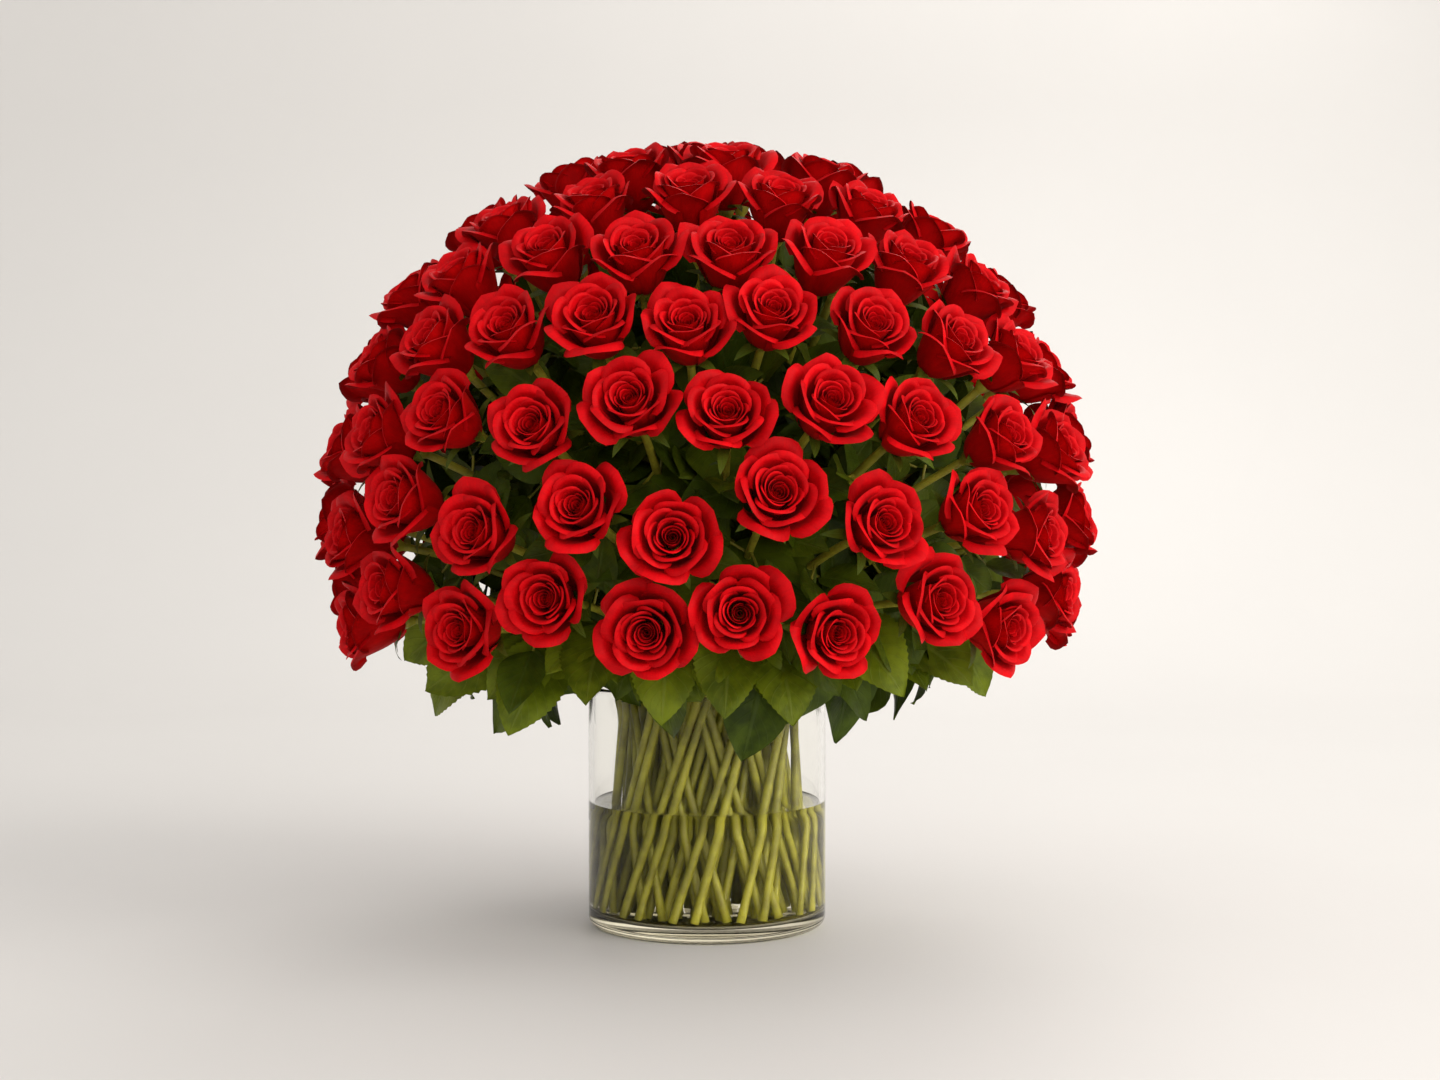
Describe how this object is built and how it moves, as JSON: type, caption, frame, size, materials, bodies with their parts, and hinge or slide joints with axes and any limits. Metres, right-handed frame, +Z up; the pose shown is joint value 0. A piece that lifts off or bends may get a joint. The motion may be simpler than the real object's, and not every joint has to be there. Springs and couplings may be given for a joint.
{
  "type": "roses in a vase",
  "caption": "Dome of long-stemmed red roses with a collar of leaves, standing in a straight clear glass cylinder vase with water.",
  "frame": {"origin": "centre of the underside of the vase, on the surface it stands on", "axes": "+Z up along the vase's axis, -Y towards the front of the bouquet, +X to its right"},
  "size_m": [0.4941, 0.4958, 0.4975],
  "materials": {
    "rose": "velvety red petals on satin green stems and leaves",
    "glass": "clear polished glass with a faint green-yellow tint",
    "water": "clear still water"
  },
  "bodies": {
    "root": {"roses_01": "rose", "roses_02": "rose", "roses_03": "rose", "roses_04": "rose", "roses_05": "rose", "roses_06": "rose", "roses_07": "rose", "roses_08": "rose", "roses_09": "rose", "roses_10": "rose", "roses_11": "rose", "roses_12": "rose", "roses_13": "rose", "roses_14": "rose", "roses_15": "rose", "roses_16": "rose", "roses_17": "rose", "roses_18": "rose", "roses_19": "rose", "roses_20": "rose", "roses_21": "rose", "roses_22": "rose", "roses_23": "rose", "roses_24": "rose", "roses_25": "rose", "roses_26": "rose", "roses_27": "rose", "roses_28": "rose", "roses_29": "rose", "roses_30": "rose", "roses_31": "rose", "roses_32": "rose", "roses_33": "rose", "roses_34": "rose", "roses_35": "rose", "roses_36": "rose", "roses_37": "rose", "roses_38": "rose", "roses_39": "rose", "roses_40": "rose", "roses_41": "rose", "roses_42": "rose", "roses_43": "rose", "roses_44": "rose", "roses_45": "rose", "roses_46": "rose", "roses_47": "rose", "roses_48": "rose", "roses_49": "rose", "roses_50": "rose", "roses_51": "rose", "roses_52": "rose", "roses_53": "rose", "roses_54": "rose", "roses_55": "rose", "roses_56": "rose", "roses_57": "rose", "roses_58": "rose", "glass_vase": "glass", "water": "water"}
  },
  "joints": []
}
